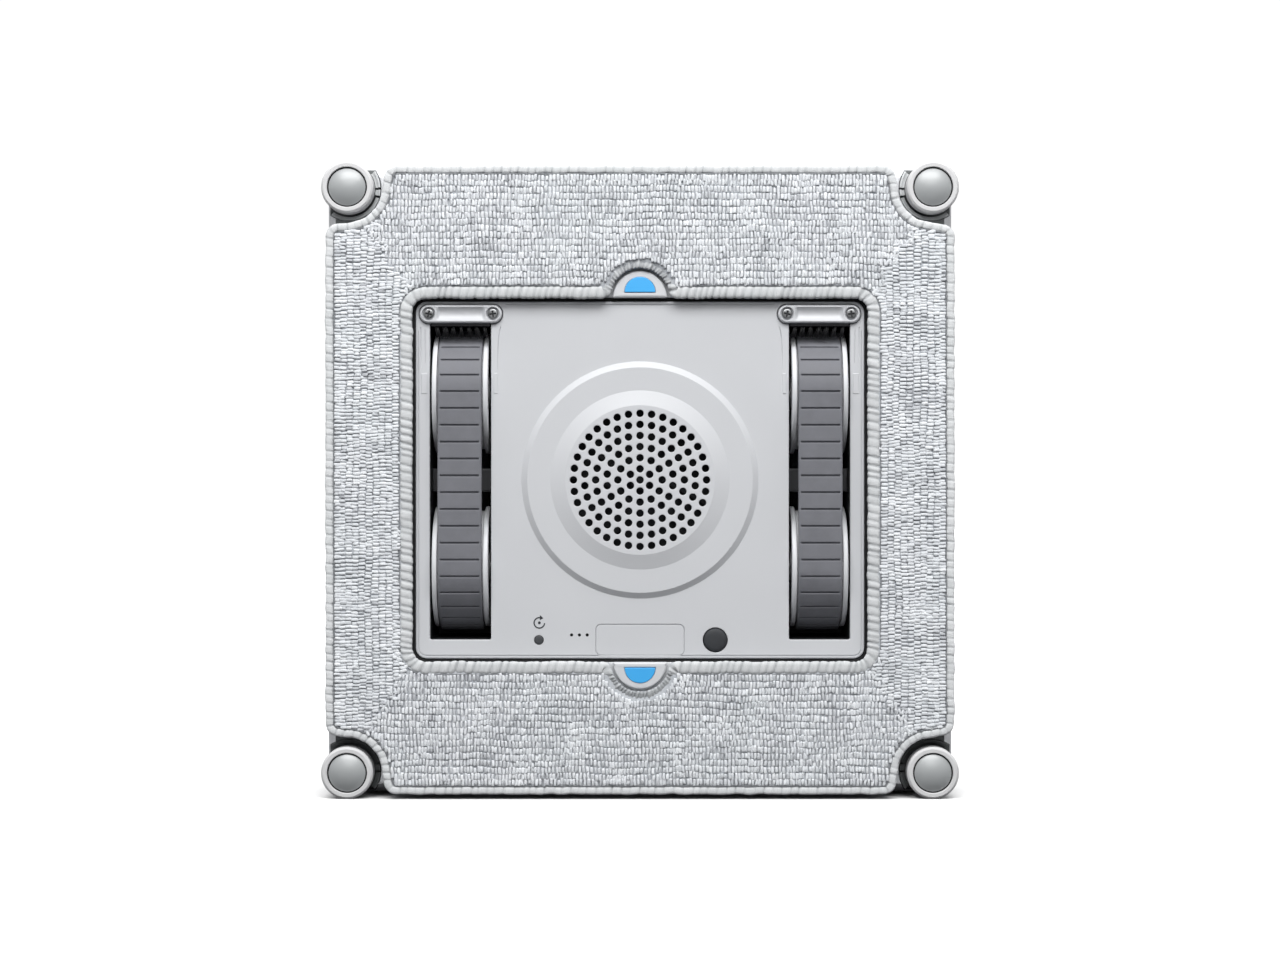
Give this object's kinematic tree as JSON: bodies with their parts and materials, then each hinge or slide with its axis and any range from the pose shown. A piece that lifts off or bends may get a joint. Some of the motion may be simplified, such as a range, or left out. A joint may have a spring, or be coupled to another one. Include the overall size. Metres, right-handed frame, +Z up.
{
  "type": "window cleaning robot",
  "caption": "Square window cleaning robot with a looped cleaning cloth, suction grille, two tread tracks, corner rollers and a rear carry handle.",
  "frame": {"origin": "middle of the floor footprint, under the robot standing on its lower edge: x in the middle of the width, y in the middle of the depth, z at the lowest edge", "axes": "+X to the right and +Z up as seen from the glass side, +Y away from the glass"},
  "size_m": [0.273, 0.077, 0.273],
  "materials": {
    "housing_plastic": "satin",
    "cover_plastic": "gloss",
    "panel_plastic": "satin",
    "tab_plastic": "satin",
    "dark_plastic": "satin",
    "grey_plastic": "satin",
    "wheel_plastic": "satin",
    "roller_plastic": "matt",
    "cap_plastic": "satin",
    "nylon": "satin",
    "belt_rubber": "matt",
    "seal_rubber": "matt",
    "bristle": "matt",
    "cloth": "looped microfibre pile",
    "hook_tape": "hook tape",
    "blue_plastic": "satin",
    "lens": "gloss",
    "steel": "brushed",
    "bronze": "sintered",
    "brass": "machined",
    "motor_steel": "satin",
    "board": "satin",
    "cell": "shrink sleeve"
  },
  "bodies": {
    "root": {"lower_housing": "housing_plastic", "top_cover": "cover_plastic", "carry_handle": "grey_plastic", "exhaust_grille": "grey_plastic", "housing_screws": "steel", "status_lens": "lens", "power_inlet": "dark_plastic", "tether_eye": "steel", "pad_frame": "tab_plastic", "hook_tape": "hook_tape", "cleaning_cloth": "cloth", "tab_inlays": "blue_plastic", "underside_panel": "panel_plastic", "panel_seal": "seal_rubber", "track_brackets": "panel_plastic", "bracket_screws": "steel", "belt_brushes": "bristle", "drive_motors": "motor_steel", "gearbox_plates": "grey_plastic", "idler_axles": "steel", "shaft_bushes": "bronze", "track_beams": "grey_plastic", "bump_switches": "dark_plastic", "fan_motor": "motor_steel", "fan_housing": "grey_plastic", "circuit_board": "board", "battery_pack": "cell", "left_tread_belt": "belt_rubber", "right_tread_belt": "belt_rubber", "upper_left_spring": "steel", "upper_right_spring": "steel", "lower_left_spring": "steel", "lower_right_spring": "steel"},
    "left_drive": {"left_drive_wheel": "wheel_plastic", "left_drive_shaft": "steel", "left_drive_gear": "nylon"},
    "left_idler": {"left_idler_wheel": "wheel_plastic"},
    "left_pinion": {"left_motor_pinion": "brass"},
    "right_drive": {"right_drive_wheel": "wheel_plastic", "right_drive_shaft": "steel", "right_drive_gear": "nylon"},
    "right_idler": {"right_idler_wheel": "wheel_plastic"},
    "right_pinion": {"right_motor_pinion": "brass"},
    "upper_left_arm": {"upper_left_carrier": "dark_plastic", "upper_left_cap": "cap_plastic"},
    "upper_left_wheel": {"upper_left_roller": "roller_plastic"},
    "upper_right_arm": {"upper_right_carrier": "dark_plastic", "upper_right_cap": "cap_plastic"},
    "upper_right_wheel": {"upper_right_roller": "roller_plastic"},
    "lower_left_arm": {"lower_left_carrier": "dark_plastic", "lower_left_cap": "cap_plastic"},
    "lower_left_wheel": {"lower_left_roller": "roller_plastic"},
    "lower_right_arm": {"lower_right_carrier": "dark_plastic", "lower_right_cap": "cap_plastic"},
    "lower_right_wheel": {"lower_right_roller": "roller_plastic"},
    "fan": {"fan_impeller": "dark_plastic"},
    "reset_pin": {"reset_button": "dark_plastic"},
    "power_cap": {"power_button": "seal_rubber"},
    "start_cap": {"start_button": "dark_plastic"}
  },
  "joints": [
    {"name": "left_drive_spin", "type": "hinge", "parent": "root", "child": "left_drive", "pos_m": [-0.0771, -0.011, 0.0988], "axis": [1, 0, 0], "continuous": true},
    {"name": "left_idler_spin", "type": "hinge", "parent": "root", "child": "left_idler", "pos_m": [-0.0771, -0.011, 0.1742], "axis": [1, 0, 0], "continuous": true},
    {"name": "left_pinion_spin", "type": "hinge", "parent": "root", "child": "left_pinion", "pos_m": [-0.056, 0.00173, 0.08607], "axis": [1, 0, 0], "continuous": true},
    {"name": "right_drive_spin", "type": "hinge", "parent": "root", "child": "right_drive", "pos_m": [0.0771, -0.011, 0.0988], "axis": [1, 0, 0], "continuous": true},
    {"name": "right_idler_spin", "type": "hinge", "parent": "root", "child": "right_idler", "pos_m": [0.0771, -0.011, 0.1742], "axis": [1, 0, 0], "continuous": true},
    {"name": "right_pinion_spin", "type": "hinge", "parent": "root", "child": "right_pinion", "pos_m": [0.056, 0.00173, 0.08607], "axis": [1, 0, 0], "continuous": true},
    {"name": "upper_left_bump", "type": "slide", "parent": "root", "child": "upper_left_arm", "axis": [0.7071, 0, -0.7071], "range_m": [0, 0.0015], "stiffness_N_per_m": 4000, "springref_m": -0.003, "deforming": ["upper_left_spring"]},
    {"name": "upper_left_roll", "type": "hinge", "parent": "upper_left_arm", "child": "upper_left_wheel", "pos_m": [-0.12535, -0.032, 0.26185], "axis": [0, 1, 0], "continuous": true},
    {"name": "upper_right_bump", "type": "slide", "parent": "root", "child": "upper_right_arm", "axis": [-0.7071, 0, -0.7071], "range_m": [0, 0.0015], "stiffness_N_per_m": 4000, "springref_m": -0.003, "deforming": ["upper_right_spring"]},
    {"name": "upper_right_roll", "type": "hinge", "parent": "upper_right_arm", "child": "upper_right_wheel", "pos_m": [0.12535, -0.032, 0.26185], "axis": [0, 1, 0], "continuous": true},
    {"name": "lower_left_bump", "type": "slide", "parent": "root", "child": "lower_left_arm", "axis": [0.7071, 0, 0.7071], "range_m": [0, 0.0015], "stiffness_N_per_m": 4000, "springref_m": -0.003, "deforming": ["lower_left_spring"]},
    {"name": "lower_left_roll", "type": "hinge", "parent": "lower_left_arm", "child": "lower_left_wheel", "pos_m": [-0.12535, -0.032, 0.01115], "axis": [0, 1, 0], "continuous": true},
    {"name": "lower_right_bump", "type": "slide", "parent": "root", "child": "lower_right_arm", "axis": [-0.7071, 0, 0.7071], "range_m": [0, 0.0015], "stiffness_N_per_m": 4000, "springref_m": -0.003, "deforming": ["lower_right_spring"]},
    {"name": "lower_right_roll", "type": "hinge", "parent": "lower_right_arm", "child": "lower_right_wheel", "pos_m": [0.12535, -0.032, 0.01115], "axis": [0, 1, 0], "continuous": true},
    {"name": "fan_spin", "type": "hinge", "parent": "root", "child": "fan", "pos_m": [0, -0.0135, 0.1365], "axis": [0, 1, 0], "continuous": true},
    {"name": "reset_press", "type": "slide", "parent": "root", "child": "reset_pin", "axis": [0, 1, 0], "range_m": [0, 0.0008], "stiffness_N_per_m": 500, "springref_m": -0.001},
    {"name": "power_press", "type": "slide", "parent": "root", "child": "power_cap", "axis": [0, 1, 0], "range_m": [0, 0.0015], "stiffness_N_per_m": 600, "springref_m": -0.001},
    {"name": "start_press", "type": "slide", "parent": "root", "child": "start_cap", "axis": [0, -1, 0], "range_m": [0, 0.0012], "stiffness_N_per_m": 600, "springref_m": -0.001}
  ],
  "couplings": [
    {"joint": "left_idler_spin", "follows": "left_drive_spin", "ratio": 1},
    {"joint": "left_pinion_spin", "follows": "left_drive_spin", "ratio": -3.5},
    {"joint": "right_idler_spin", "follows": "right_drive_spin", "ratio": 1},
    {"joint": "right_pinion_spin", "follows": "right_drive_spin", "ratio": -3.5}
  ]
}
